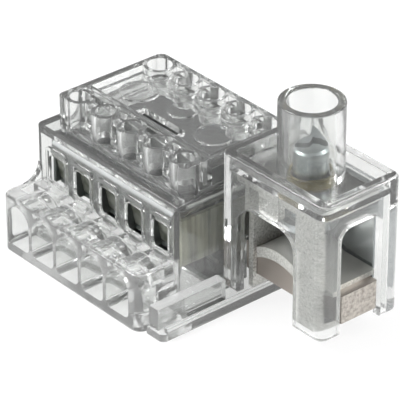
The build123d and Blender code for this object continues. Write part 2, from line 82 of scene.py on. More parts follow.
# The wall where it is thinned behind the windows
THIN_WALL = 0.4 * MILLIMETRE
THIN_BOTTOM, THIN_TOP = 9.8 * MILLIMETRE, 17.9 * MILLIMETRE

# The upper rail's front: its sheet, its way forward to the thin wall, and its bend
RAIL_SHEET = 0.8 * MILLIMETRE
RAIL_FORWARD = 0.55 * MILLIMETRE
RAIL_BEND = 1.5 * MILLIMETRE

# The upper springs: how much wider, how far back at the top, and how far forward for each length down
SPRING_WIDEN = 1.27
SPRING_BACK = 0.61 * MILLIMETRE
SPRING_LEAN = 1.3

# Levels in the CAD clamp cap and clamp frame, and how much each is raised, both in millimetres
CAP_RISES = ((0, 0), (21.0, 0), (21.7, 1.4), (23.3, 0.8), (25.0, 0), (40.0, 0))
FRAME_RISES = ((0, 0), (17.0, 0), (17.9, 0.7), (18.6, 0.7), (20.4, 1.4), (21.6, 1.4), (22.6, 2.4),
               (40.0, 2.4))

# The clamp frame: its raised top's underside, its strap, its sheet, the front tab and the front band's
# lower edge. The rear cheek starts at a place along Y, and a sheet without one has it far behind.
FRAME_UNDER_Z = 21.8 * MILLIMETRE
FRAME_STRAP = 4.2 * MILLIMETRE
FRAME_SHEET = 1.0 * MILLIMETRE
FRAME_PROUD = 0.2 * MILLIMETRE
FRAME_TAB_X0, FRAME_TAB_X1 = 24.6 * MILLIMETRE, 29.0 * MILLIMETRE
FRAME_BAND_Z = 18.0 * MILLIMETRE
REAR_CHEEK_Y = 12.25 * MILLIMETRE
NO_CHEEK_Y = 1.0

# The thread's ridge, in shares of its pitch: half its foot, half its crest, and how far inside the
# screw's widest part it starts and ends
RIDGE_FOOT, RIDGE_CREST = 0.44, 0.07
RIDGE_START, RIDGE_END = 0.8, 0.6


def linear(hex_colour):
    """A linear RGBA colour from an sRGB hex value such as #8090a0."""
    digits = hex_colour.lstrip("#")
    channels = [int(digits[i:i + 2], 16) / 255 for i in (0, 2, 4)]
    return tuple(c / 12.92 if c <= 0.04045 else ((c + 0.055) / 1.055) ** 2.4 for c in channels) + (1.0,)


def size_in_noise(millimetres):
    """The Scale of a noise whose features are about this long, in object coordinates."""
    return 1 / (millimetres * MILLIMETRE)


def add_node(tree, kind, settings=None, links=None):
    """Adds one node; a setting is a property or a socket's value, and a link is a source socket."""
    made = tree.nodes.new(kind)
    for name, value in (settings or {}).items():
        if isinstance(name, str) and hasattr(made, name):
            setattr(made, name, value)
        else:
            made.inputs[name].default_value = value
    for name, source in (links or {}).items():
        tree.links.new(source, made.inputs[name])
    return made


def new_material(name):
    """An empty node material, its tree and its output node."""
    material = bpy.data.materials.new(name)
    material.use_nodes = True
    tree = material.node_tree
    tree.nodes.clear()
    return material, tree, add_node(tree, "ShaderNodeOutputMaterial")


def finish_material(tree, output, shader):
    """Links a shader to the material's surface."""
    tree.links.new(shader.outputs[0], output.inputs["Surface"])


def dress(nodes, material):
    """Gives CAD nodes one material."""
    for name in nodes:
        slots = frame["nodes"][name].data.materials
        slots.clear()
        slots.append(material)


def clear_polycarbonate(name, tint, clarity, thick_clarity, thick_top):
    """Polycarbonate, injection moulded in a polished tool: clear, with a faint grey tint.

    The eye sees dark and light edge lines, a glossy skin, slow ripples where the melt flowed,
    and a faint milky haze, which is what clarity leaves over. The thick walls, which lie
    below a height, are hazier.
    """
    material, tree, output = new_material(name)
    place = add_node(tree, "ShaderNodeTexCoord")
    flow = add_node(tree, "ShaderNodeTexNoise", {"Scale": size_in_noise(2.5), "Detail": 2.0},
                    {"Vector": place.outputs["Object"]})
    edges = add_node(tree, "ShaderNodeBevel", {"samples": 4, "Radius": 0.2 * MILLIMETRE})
    bump = add_node(tree, "ShaderNodeBump", {"Strength": 0.12, "Distance": 0.3 * MILLIMETRE},
                    {"Height": flow.outputs["Fac"], "Normal": edges.outputs["Normal"]})
    skin = add_node(tree, "ShaderNodeMapRange",
                    {"From Min": 0.4, "From Max": 0.7, "To Min": 0.01, "To Max": 0.07},
                    {"Value": flow.outputs["Fac"]})
    point = add_node(tree, "ShaderNodeSeparateXYZ", None, {"Vector": place.outputs["Object"]})
    clear = add_node(tree, "ShaderNodeMapRange",
                     {"From Min": thick_top - 0.5 * MILLIMETRE, "From Max": thick_top,
                      "To Min": thick_clarity, "To Max": clarity}, {"Value": point.outputs["Z"]})
    shader = add_node(tree, "ShaderNodeBsdfPrincipled", {"Base Color": tint, "IOR": 1.56},
                      {"Normal": bump.outputs["Normal"], "Roughness": skin.outputs["Result"],
                       "Transmission Weight": clear.outputs["Result"]})
    finish_material(tree, output, shader)
    return material


def zinc_plated_sheet(name, light, dark, top, yellow, bright, collar_axis, cheek_y):
    """Sheet steel, punched, bent and zinc plated: pale grey, with a crystal grain and dull pits.

    Upward faces are painted darker, a painted shade, and the dull pits lean towards the same dark
    colour. Round the screw the plating has a yellow chromate tint, and the rear cheek, which lies
    behind a given place along Y, is smooth and shinier. Grain and pits are drawn coarser than real
    ones, so that they show.
    """
    material, tree, output = new_material(name)
    place = add_node(tree, "ShaderNodeTexCoord")
    grain = add_node(tree, "ShaderNodeTexVoronoi", {"Scale": size_in_noise(0.22)},
                     {"Vector": place.outputs["Object"]})
    cloud = add_node(tree, "ShaderNodeTexNoise", {"Scale": size_in_noise(0.5), "Detail": 4.0},
                     {"Vector": place.outputs["Object"]})
    mixed = add_node(tree, "ShaderNodeMath", {"operation": "MULTIPLY"},
                     {0: grain.outputs["Distance"], 1: cloud.outputs["Fac"]})
    spots = add_node(tree, "ShaderNodeMapRange", {"From Min": 0.08, "From Max": 0.34},
                     {"Value": mixed.outputs[0]})
    plating = add_node(tree, "ShaderNodeMix", {"data_type": "RGBA", COLOUR_A: light, COLOUR_B: dark},
                       {"Factor": spots.outputs["Result"]})
    pits = add_node(tree, "ShaderNodeTexNoise", {"Scale": size_in_noise(0.33), "Detail": 0.0},
                    {"Vector": place.outputs["Object"]})
    pitted = add_node(tree, "ShaderNodeMapRange", {"From Min": 0.63, "From Max": 0.73, "To Max": 0.4},
                      {"Value": pits.outputs["Fac"]})
    pitted_plating = add_node(tree, "ShaderNodeMix", {"data_type": "RGBA", COLOUR_B: top},
                              {"Factor": pitted.outputs["Result"], COLOUR_A: plating.outputs[MIXED_COLOUR]})
    offset = add_node(tree, "ShaderNodeVectorMath", {"operation": "SUBTRACT", 1: collar_axis},
                      {0: place.outputs["Object"]})
    flat = add_node(tree, "ShaderNodeVectorMath", {"operation": "MULTIPLY", 1: (1.0, 1.0, 0.0)},
                    {0: offset.outputs["Vector"]})
    reach = add_node(tree, "ShaderNodeVectorMath", {"operation": "LENGTH"}, {0: flat.outputs["Vector"]})
    near = add_node(tree, "ShaderNodeMapRange",
                    {"From Min": 3.6 * MILLIMETRE, "From Max": 5.0 * MILLIMETRE,
                     "To Min": 1.0, "To Max": 0.0}, {"Value": reach.outputs["Value"]})
    # Painted shade: faces that point upwards are darkened towards the top colour
    facing = add_node(tree, "ShaderNodeSeparateXYZ", None, {"Vector": place.outputs["Normal"]})
    painted_top_shade_mask = add_node(tree, "ShaderNodeMapRange", {"From Min": 0.6, "From Max": 0.9},
                      {"Value": facing.outputs["Z"]})
    sheet = add_node(tree, "ShaderNodeMix", {"data_type": "RGBA", COLOUR_B: top},
                     {"Factor": painted_top_shade_mask.outputs["Result"], COLOUR_A: pitted_plating.outputs[MIXED_COLOUR]})
    tinted = add_node(tree, "ShaderNodeMix", {"data_type": "RGBA", COLOUR_B: yellow},
                      {"Factor": near.outputs["Result"], COLOUR_A: sheet.outputs[MIXED_COLOUR]})
    point = add_node(tree, "ShaderNodeSeparateXYZ", None, {"Vector": place.outputs["Object"]})
    behind = add_node(tree, "ShaderNodeMath", {"operation": "GREATER_THAN", 1: cheek_y},
                      {0: point.outputs["Y"]})
    worn = add_node(tree, "ShaderNodeMix", {"data_type": "RGBA", COLOUR_B: bright},
                    {"Factor": behind.outputs[0], COLOUR_A: tinted.outputs[MIXED_COLOUR]})
    plated = add_node(tree, "ShaderNodeMapRange", {"To Min": 0.28, "To Max": 0.45},
                      {"Value": spots.outputs["Result"]})
    rough = add_node(tree, "ShaderNodeMix", {VALUE_B: 0.2},
                     {"Factor": behind.outputs[0], VALUE_A: plated.outputs["Result"]})
    shine = add_node(tree, "ShaderNodeMapRange", {"To Min": 0.5, "To Max": 0.75},
                     {"Value": behind.outputs[0]})
    bump = add_node(tree, "ShaderNodeBump", {"Strength": 0.12, "Distance": 0.03 * MILLIMETRE},
                    {"Height": mixed.outputs[0]})
    shader = add_node(tree, "ShaderNodeBsdfPrincipled", None,
                      {"Base Color": worn.outputs[MIXED_COLOUR], "Roughness": rough.outputs[0],
                       "Metallic": shine.outputs["Result"], "Normal": bump.outputs["Normal"]})
    finish_material(tree, output, shader)
    return material


def satin_metal(name, colour, shade, roughness, grain_mm, metallic=1.0, bend=None, top=None,
                cloud_mm=2.2, streak=1.0):
    """A plain metal with a satin surface: a fine directionless grain and slow dull clouds.

    A bend colour, a painted highlight, shows on faces that lean back, and a top colour, a painted
    shade, on level ones. A streak under 1 draws the clouds out upwards.
    """
    material, tree, output = new_material(name)
    place = add_node(tree, "ShaderNodeTexCoord")
    drawn = add_node(tree, "ShaderNodeVectorMath", {"operation": "MULTIPLY", 1: (1.0, 1.0, streak)},
                     {0: place.outputs["Object"]})
    cloud = add_node(tree, "ShaderNodeTexNoise", {"Scale": size_in_noise(cloud_mm), "Detail": 3.0},
                     {"Vector": drawn.outputs["Vector"]})
    share = add_node(tree, "ShaderNodeMapRange", {"From Min": 0.35, "From Max": 0.65},
                     {"Value": cloud.outputs["Fac"]})
    grain = add_node(tree, "ShaderNodeTexNoise", {"Scale": size_in_noise(grain_mm), "Detail": 2.0},
                     {"Vector": place.outputs["Object"]})
    tone = add_node(tree, "ShaderNodeMix", {"data_type": "RGBA", COLOUR_A: colour, COLOUR_B: shade},
                    {"Factor": share.outputs["Result"]})
    if bend:
        facing = add_node(tree, "ShaderNodeSeparateXYZ", None, {"Vector": place.outputs["Normal"]})
        # Painted highlight: faces that lean back take the bend colour
        painted_highlight_mask = add_node(tree, "ShaderNodeMapRange", {"From Min": 0.25, "From Max": 0.5},
                         {"Value": facing.outputs["Z"]})
        # Painted shade: level faces take the top colour
        level = add_node(tree, "ShaderNodeMapRange", {"From Min": 0.85, "From Max": 0.97},
                         {"Value": facing.outputs["Z"]})
        tone = add_node(tree, "ShaderNodeMix", {"data_type": "RGBA", COLOUR_B: bend},
                        {"Factor": painted_highlight_mask.outputs["Result"], COLOUR_A: tone.outputs[MIXED_COLOUR]})
        tone = add_node(tree, "ShaderNodeMix", {"data_type": "RGBA", COLOUR_B: top},
                        {"Factor": level.outputs["Result"], COLOUR_A: tone.outputs[MIXED_COLOUR]})
    rough = add_node(tree, "ShaderNodeMapRange", {"To Min": roughness * 0.8, "To Max": roughness * 1.3},
                     {"Value": grain.outputs["Fac"]})
    bump = add_node(tree, "ShaderNodeBump", {"Strength": 0.15, "Distance": 0.03 * MILLIMETRE},
                    {"Height": grain.outputs["Fac"]})
    shader = add_node(tree, "ShaderNodeBsdfPrincipled", {"Metallic": metallic},
                      {"Base Color": tone.outputs[MIXED_COLOUR], "Roughness": rough.outputs["Result"],
                       "Normal": bump.outputs["Normal"]})
    finish_material(tree, output, shader)
    return material


def tinned_copper_bar(name, tin, copper, scar):
    """Copper flat bar, tin plated and then sheared to length.

    The sides are dull silver. The sheared end shows pink copper with torn grey scars.
    """
    material, tree, output = new_material(name)
    place = add_node(tree, "ShaderNodeTexCoord")
    tear = add_node(tree, "ShaderNodeTexNoise",
                    {"Scale": size_in_noise(0.7), "Detail": 6.0, "Roughness": 0.65},
                    {"Vector": place.outputs["Object"]})
    torn = add_node(tree, "ShaderNodeMapRange", {"From Min": 0.42, "From Max": 0.62},
                    {"Value": tear.outputs["Fac"]})
    end_tone = add_node(tree, "ShaderNodeMix", {"data_type": "RGBA", COLOUR_A: copper, COLOUR_B: scar},
                        {"Factor": torn.outputs["Result"]})
    facing = add_node(tree, "ShaderNodeSeparateXYZ", None, {"Vector": place.outputs["Normal"]})
    is_end = add_node(tree, "ShaderNodeMapRange", {"From Min": 0.6, "From Max": 0.8},
                      {"Value": facing.outputs["X"]})
    tone = add_node(tree, "ShaderNodeMix", {"data_type": "RGBA", COLOUR_A: tin},
                    {"Factor": is_end.outputs["Result"], COLOUR_B: end_tone.outputs[MIXED_COLOUR]})
    depth = add_node(tree, "ShaderNodeMath", {"operation": "MULTIPLY"},
                     {0: tear.outputs["Fac"], 1: is_end.outputs["Result"]})
    bump = add_node(tree, "ShaderNodeBump", {"Strength": 0.9, "Distance": 0.25 * MILLIMETRE},
                    {"Height": depth.outputs[0]})
    shader = add_node(tree, "ShaderNodeBsdfPrincipled", {"Metallic": 0.7, "Roughness": 0.42},
                      {"Base Color": tone.outputs[MIXED_COLOUR], "Normal": bump.outputs["Normal"]})
    finish_material(tree, output, shader)
    return material


class CameraSettings(bpy.types.PropertyGroup):
    """Where the camera stands and how it is framed."""

    azimuth: FloatProperty(name="Azimuth", description="Turn round the block from its front",
                           default=math.radians(49.57), subtype="ANGLE")
    elevation: FloatProperty(name="Elevation", description="Height above the floor's level",
                             default=math.radians(30.757), subtype="ANGLE")
    distance: FloatProperty(name="Distance", description="From the aim to the camera",
                            default=0.48153, unit="LENGTH")
    aim: FloatVectorProperty(name="Aim", description="Point in the block that the camera looks towards",
                             default=(0.0082, -0.0017, 0.012), subtype="TRANSLATION")
    slide_right: FloatProperty(name="Slide right", description="Camera moved to its right",
                               default=0.00372, unit="LENGTH")
    slide_up: FloatProperty(name="Slide up", description="Camera moved upwards in its own frame",
                            default=0.001778, unit="LENGTH")
    lens: FloatProperty(name="Lens", description="Focal length in millimetres", default=288.0)


class StageSettings(bpy.types.PropertyGroup):
    """Floor, backdrop and lamps."""

    floor_colour: StringProperty(name="Floor", description="sRGB hex colour", default="#f4f4f4")
    floor_size: FloatProperty(name="Floor size", description="Side of the square floor", default=3.0,
                              unit="LENGTH")
    floor_glow: FloatProperty(name="Floor glow", description="Share of the floor that is plain backdrop",
                              default=0.85, min=0.0, max=1.0)
    ambient: FloatProperty(name="Ambient", description="Strength of the world's light", default=0.75)
    horizon: FloatProperty(name="Horizon", description="Brightness of the room level with the block",
                           default=0.7)
    horizon_top: FloatProperty(name="Horizon top", description="Sine of the height where the room is white",
                               default=0.45)
    card_tone: FloatProperty(name="Card", description="Brightness of the dark card behind", default=0.45)
    card_azimuth: FloatProperty(name="Card azimuth", description="Turn of the card's place",
                                subtype="ANGLE", default=math.radians(49.6))
    card_elevation: FloatProperty(name="Card elevation", description="Height of the card's middle",
                                  subtype="ANGLE", default=math.radians(33.0))
    card_edge: FloatProperty(name="Card edge", description="Cosine from the card's middle to its soft edge",
                             default=0.7)
    card_core: FloatProperty(name="Card core", description="Cosine from the card's middle to its dark core",
                             default=0.9)
    lamp_aim: FloatVectorProperty(name="Lamp aim", description="Point that both lamps face",
                                  default=(0.01, 0.0, 0.012), subtype="TRANSLATION")
    key_power: FloatProperty(name="Key lamp", description="Power of the large soft lamp", default=5.0,
                             unit="POWER")
    key_size: FloatProperty(name="Key size", description="Side of the key lamp", default=0.35, unit="LENGTH")
    key_place: FloatVectorProperty(name="Key place", description="Where the key lamp hangs",
                                   default=(-0.25, -0.35, 0.5), subtype="TRANSLATION")
    rim_power: FloatProperty(name="Rim lamp", description="Power of the lamp behind", default=3.0,
                             unit="POWER")
    rim_size: FloatProperty(name="Rim size", description="Side of the rim lamp", default=0.3, unit="LENGTH")
    rim_place: FloatVectorProperty(name="Rim place", description="Where the rim lamp hangs",
                                   default=(0.35, 0.4, 0.4), subtype="TRANSLATION")


class FinishSettings(bpy.types.PropertyGroup):
    """Colours of the block's materials, as sRGB hex values."""

    plastic: StringProperty(name="Clear plastic", description="Tint of the polycarbonate", default="#f6f7f6")
    zinc_light: StringProperty(name="Zinc, light", description="Light grains of the plating",
                               default="#d8d8d4")
    zinc_dark: StringProperty(name="Zinc, dark", description="Dark grains of the plating", default="#b4b4af")
    # Painted shade on the clamp frame's upward faces; the plating's pits lean towards it too
    zinc_pits_and_painted_top_shade: StringProperty(name="Zinc, upward", description="Upward faces of the clamp frame",
                             default="#4a4b46")
    chromate: StringProperty(name="Yellow chromate", description="Tint round the screw", default="#6f6434")
    cheek: StringProperty(name="Rear cheek", description="Smooth rear cheek of the frame", default="#a9adae")
    tin: StringProperty(name="Tin plating", description="Sides of the busbar", default="#a39b94")
    copper: StringProperty(name="Copper", description="Sheared end of the busbar", default="#c6c0b8")
    scar: StringProperty(name="Scars", description="Torn spots on the sheared end", default="#9a938c")
    rail: StringProperty(name="Rails", description="Dull sheet seen through the housing", default="#666b68")
    rail_shade: StringProperty(name="Rail shade", description="Darker clouds on the rails",
                               default="#4a4f4c")
    # Painted highlight along the rails' bend
    rail_bend_painted_highlight: StringProperty(name="Rail bend", description="Burnished bend", default="#f6f9fb")
    # Painted shade on the rails' level faces
    rail_top_painted_shade: StringProperty(name="Rail top", description="Level faces of the rails", default="#2b2f2e")
    link: StringProperty(name="Link plate", description="Sheet at the rails' end", default="#b9baa4")
    link_shade: StringProperty(name="Link shade", description="Darker clouds on it", default="#6d7264")
    spring: StringProperty(name="Springs", description="Stainless strip", default="#8c8f86")
    spring_shade: StringProperty(name="Spring shade", description="Darker clouds on the strip",
                                 default="#55584e")
    screw: StringProperty(name="Blue zinc", description="Screw, pad and rivets", default="#b2b8ba")
    screw_shade: StringProperty(name="Blue zinc shade", description="Darker clouds on the zinc",
                                default="#87918f")


class ThreadSettings(bpy.types.PropertyGroup):
    """The thread that is cut on the clamping screw."""

    pitch: FloatProperty(name="Pitch", description="Rise in one turn", default=1.0 * MILLIMETRE,
                         unit="LENGTH")
    depth: FloatProperty(name="Depth", description="From crest to root", default=0.55 * MILLIMETRE,
                         unit="LENGTH")


class WindowSettings(bpy.types.PropertyGroup):
    """The framed upper wire entries and what stands behind them."""

    width: FloatProperty(name="Width", description="Clear width", default=4.0 * MILLIMETRE, unit="LENGTH")
    height: FloatProperty(name="Height", description="Clear height", default=4.9 * MILLIMETRE, unit="LENGTH")
    radius: FloatProperty(name="Radius", description="Corner radius", default=0.9 * MILLIMETRE,
                          unit="LENGTH")
    shift: FloatProperty(name="Shift", description="From the CAD window's middle to the left",
                         default=0.35 * MILLIMETRE, unit="LENGTH")
    drop: FloatProperty(name="Drop", description="From the CAD window's middle down",
                        default=0.95 * MILLIMETRE, unit="LENGTH")
    frame: FloatProperty(name="Frame", description="Width of the raised frame", default=0.52 * MILLIMETRE,
                         unit="LENGTH")
    rise: FloatProperty(name="Rise", description="Height of the frame", default=0.3 * MILLIMETRE,
                        unit="LENGTH")
    lintel: FloatProperty(name="Lintel", description="Height of the frame over the window",
                          default=1.4 * MILLIMETRE, unit="LENGTH")
    rim: FloatProperty(name="Rim", description="Radius of the housing's top edge", default=0.9 * MILLIMETRE,
                       unit="LENGTH")
    margin: FloatProperty(name="Margin", description="The rail's comb stays this far behind the edges",
                          default=0.25 * MILLIMETRE, unit="LENGTH")


class FlapSettings(bpy.types.PropertyGroup):
    """The folded flap at the upper rail's left end."""

    thickness: FloatProperty(name="Thickness", description="The rail's sheet", default=0.6 * MILLIMETRE,
                             unit="LENGTH")
    inset: FloatProperty(name="Inset", description="From the rail's outline to the flap's edges",
                         default=0.3 * MILLIMETRE, unit="LENGTH")


def soft_lamp(name, power, size, place, target):
    """A square area lamp aimed at a point."""
    data = bpy.data.lights.new(name, "AREA")
    data.energy = power
    data.size = size
    lamp = bpy.data.objects.new(name, data)
    lamp.location = place
    lamp.rotation_euler = (Vector(target) - Vector(place)).to_track_quat("-Z", "Y").to_euler()
    bpy.context.scene.collection.objects.link(lamp)
    return lamp


def backdrop_rays(tree):
    """1 for the rays on which the plain backdrop shows: camera, glossy and transmission rays."""
    path = add_node(tree, "ShaderNodeLightPath")
    first = add_node(tree, "ShaderNodeMath", {"operation": "MAXIMUM"},
                     {0: path.outputs["Is Camera Ray"], 1: path.outputs["Is Glossy Ray"]})
    return add_node(tree, "ShaderNodeMath", {"operation": "MAXIMUM"},
                    {0: first.outputs[0], 1: path.outputs["Is Transmission Ray"]})


class TERMINAL_OT_stage(bpy.types.Operator):
    """Lay the pale floor, hang the lamps and set the world"""

    bl_idname = "terminal_block.stage"
    bl_label = "Set the Stage"

    def execute(self, context):
        settings = context.scene.terminal_stage
        half = settings.floor_size / 2
        mesh = bpy.data.meshes.new("floor")
        corners = [(-half, -half, 0), (half, -half, 0), (half, half, 0), (-half, half, 0)]
        mesh.from_pydata(corners, [], [(0, 1, 2, 3)])
        floor = bpy.data.objects.new("floor", mesh)
        floor.location.z = -0.02 * MILLIMETRE
        context.scene.collection.objects.link(floor)
        material, tree, output = new_material("matt_paper_floor")
        paper = add_node(tree, "ShaderNodeBsdfDiffuse", {"Color": linear(settings.floor_colour)})
        glow = add_node(tree, "ShaderNodeEmission", {"Color": (1, 1, 1, 1), "Strength": 1.0})
        share = add_node(tree, "ShaderNodeMath", {"operation": "MULTIPLY", 1: settings.floor_glow},
                         {0: backdrop_rays(tree).outputs[0]})
        mixed = add_node(tree, "ShaderNodeMixShader", None,
                         {0: share.outputs[0], 1: paper.outputs[0], 2: glow.outputs[0]})
        finish_material(tree, output, mixed)
        mesh.materials.append(material)
        self.make_world(context, settings)
        soft_lamp("key_lamp", settings.key_power, settings.key_size, settings.key_place, settings.lamp_aim)
        soft_lamp("rim_lamp", settings.rim_power, settings.rim_size, settings.rim_place, settings.lamp_aim)
        return {"FINISHED"}

    def make_world(self, context, settings):
        """White where the camera looks; plastic and metal see a paler horizon and a dark card."""
        world = bpy.data.worlds.new("studio")
        world.use_nodes = True
        tree = world.node_tree
        tree.nodes.clear()
        place = add_node(tree, "ShaderNodeTexCoord")
        parts = add_node(tree, "ShaderNodeSeparateXYZ", None, {"Vector": place.outputs["Generated"]})
        height = add_node(tree, "ShaderNodeMath", {"operation": "ABSOLUTE"}, {0: parts.outputs["Z"]})
        band = add_node(tree, "ShaderNodeMapRange",
                        {"From Min": 0.0, "From Max": settings.horizon_top,
                         "To Min": settings.horizon, "To Max": 1.0}, {"Value": height.outputs[0]})
        rise, turn = settings.card_elevation, settings.card_azimuth
        towards = (-math.sin(turn) * math.cos(rise), math.cos(turn) * math.cos(rise), math.sin(rise))
        facing = add_node(tree, "ShaderNodeVectorMath", {"operation": "DOT_PRODUCT", 1: towards},
                          {0: place.outputs["Generated"]})
        card = add_node(tree, "ShaderNodeMapRange",
                        {"From Min": settings.card_edge, "From Max": settings.card_core,
                         "To Min": 1.0, "To Max": settings.card_tone}, {"Value": facing.outputs["Value"]})
        both = add_node(tree, "ShaderNodeMath", {"operation": "MULTIPLY"},
                        {0: band.outputs["Result"], 1: card.outputs["Result"]})
        white = {"Color": (1, 1, 1, 1)}
        room = add_node(tree, "ShaderNodeBackground", white, {"Strength": both.outputs[0]})
        plain = add_node(tree, "ShaderNodeBackground", {**white, "Strength": 1.0})
        ambient = add_node(tree, "ShaderNodeBackground", {**white, "Strength": settings.ambient})
        path = add_node(tree, "ShaderNodeLightPath")
        seen = add_node(tree, "ShaderNodeMath", {"operation": "MAXIMUM"},
                        {0: path.outputs["Is Glossy Ray"], 1: path.outputs["Is Transmission Ray"]})
        mixed = add_node(tree, "ShaderNodeMixShader", None,
                         {0: seen.outputs[0], 1: ambient.outputs[0], 2: room.outputs[0]})
        shown = add_node(tree, "ShaderNodeMixShader", None,
                         {0: path.outputs["Is Camera Ray"], 1: mixed.outputs[0], 2: plain.outputs[0]})
        output = add_node(tree, "ShaderNodeOutputWorld")
        tree.links.new(shown.outputs[0], output.inputs["Surface"])
        context.scene.world = world
        context.scene.view_settings.view_transform = "Standard"
        context.scene.cycles.max_bounces = CLEAR_WALL_BOUNCES
        context.scene.cycles.transmission_bounces = CLEAR_WALL_BOUNCES


class TERMINAL_OT_camera(bpy.types.Operator):
    """Stand the camera at the photograph's viewing angle"""

    bl_idname = "terminal_block.camera"
    bl_label = "Place the Camera"

    def execute(self, context):
        view = context.scene.terminal_camera
        turn, rise = view.azimuth, view.elevation
        back = Vector((math.sin(turn) * math.cos(rise), -math.cos(turn) * math.cos(rise), math.sin(rise)))
        right = Vector((math.cos(turn), math.sin(turn), 0.0))
        up = back.cross(right)
        data = bpy.data.cameras.new("camera")
        data.lens = view.lens
        data.sensor_width = 36.0
        data.clip_start = 0.01
        data.clip_end = 20.0
        camera = bpy.data.objects.new("camera", data)
        turned = Matrix((right, up, back)).transposed().to_4x4()
        place = Vector(view.aim) + back * view.distance + right * view.slide_right + up * view.slide_up
        camera.matrix_world = Matrix.Translation(place) @ turned
        context.scene.collection.objects.link(camera)
        context.scene.camera = camera
        return {"FINISHED"}


def box_shape(low, high):
    """Corners and faces of a box."""
    corners = [(x, y, z) for x in (low[0], high[0]) for y in (low[1], high[1]) for z in (low[2], high[2])]
    faces = [(0, 1, 3, 2), (4, 6, 7, 5), (0, 4, 5, 1), (2, 3, 7, 6), (0, 2, 6, 4), (1, 5, 7, 3)]
    return corners, faces


def prism_shape(outline, low, high, axis):
    """Corners and faces of a prism: an outline across one axis, drawn from low to high along it."""
    count = len(outline)
    corners = []
    for level in (low, high):
        for point in outline:
            corner = list(point)
            corner.insert(axis, level)
            corners.append(tuple(corner))
    sides = [(i, (i + 1) % count, count + (i + 1) % count, count + i) for i in range(count)]
    return corners, [tuple(range(count)), tuple(range(count, 2 * count))] + sides


def rounded_outline(low, high, radius):
    """A rectangle with round corners, as points in order."""
    points, steps = [], 6
    middles = ((high[0] - radius, high[1] - radius), (low[0] + radius, high[1] - radius),
               (low[0] + radius, low[1] + radius), (high[0] - radius, low[1] + radius))
    for quarter, middle in enumerate(middles):
        for step in range(steps + 1):
            turn = math.pi / 2 * (quarter + step / steps)
            points.append((middle[0] + radius * math.cos(turn), middle[1] + radius * math.sin(turn)))
    return points


def edge_outline(corner, away, radius):
    """What a round edge takes off a square one: the corner's outside, down to a quarter circle."""
    over, steps = 1.0 * MILLIMETRE, 8
    middle = (corner[0] + away * radius, corner[1] - radius)
    arc = [(middle[0] - away * radius * math.cos(math.pi / 2 * i / steps),
            middle[1] + radius * math.sin(math.pi / 2 * i / steps)) for i in range(steps + 1)]
    return arc + [(middle[0], corner[1] + over), (corner[0] - away * over, corner[1] + over),
                  (corner[0] - away * over, middle[1])]


def closed_mesh(name, shapes):
    """One mesh of closed shapes, welded and with its faces turned outwards."""
    shape = bmesh.new()
    for corners, faces in shapes:
        made = [shape.verts.new(corner) for corner in corners]
        for face in faces:
            shape.faces.new([made[i] for i in face])
    bmesh.ops.remove_doubles(shape, verts=shape.verts, dist=WELD)
    bmesh.ops.recalc_face_normals(shape, faces=shape.faces)
    mesh = bpy.data.meshes.new(name)
    shape.to_mesh(mesh)
    shape.free()
    return mesh


def reshaped_copy(node, name, move=None):
    """A welded copy of a CAD node, whose corners may be moved by a rule."""
    source = frame["nodes"][node].data
    corners = [tuple(vertex.co) for vertex in source.vertices]
    if move:
        corners = [move(*corner) for corner in corners]
    mesh = closed_mesh(name, [(corners, [tuple(polygon.vertices) for polygon in source.polygons])])
    mesh.materials.append(source.materials[0])
    piece = bpy.data.objects.new(name, mesh)
    bpy.context.scene.collection.objects.link(piece)
    return piece


def raised_levels(rises):
    """Pairs of old and new heights, from levels and rises in millimetres."""
    return [(level * MILLIMETRE, (level + rise) * MILLIMETRE) for level, rise in rises]


def moved_level(height, levels):
    """A height read off a line through pairs of old and new levels."""
    for (old0, new0), (old1, new1) in zip(levels, levels[1:]):
        if height <= old1:
            return new0 + (new1 - new0) * (height - old0) / (old1 - old0)
    return height + levels[-1][1] - levels[-1][0]


def carve(piece, operation, shapes):
    """Joins closed shapes to a piece, or cuts them out of it."""
    tool = bpy.data.objects.new("tool", closed_mesh("tool", shapes))
    bpy.context.scene.collection.objects.link(tool)
    modifier = piece.modifiers.new("carve", "BOOLEAN")
    modifier.operation = operation
    modifier.solver = "EXACT"
    modifier.use_self = True
    modifier.double_threshold = 0.0
    modifier.object = tool
    graph = bpy.context.evaluated_depsgraph_get()
    graph.update()
    carved = bpy.data.meshes.new_from_object(piece.evaluated_get(graph))
    piece.modifiers.clear()
    piece.data = carved
    bpy.data.objects.remove(tool)


def seat_in_place(piece, node, body="terminal"):
    """Shades a finished piece and puts it in its CAD node's place."""
    piece.data.shade_smooth()
    piece.data.set_sharp_from_angle(angle=SHARP_ANGLE)
    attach(piece, body)
    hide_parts(node)


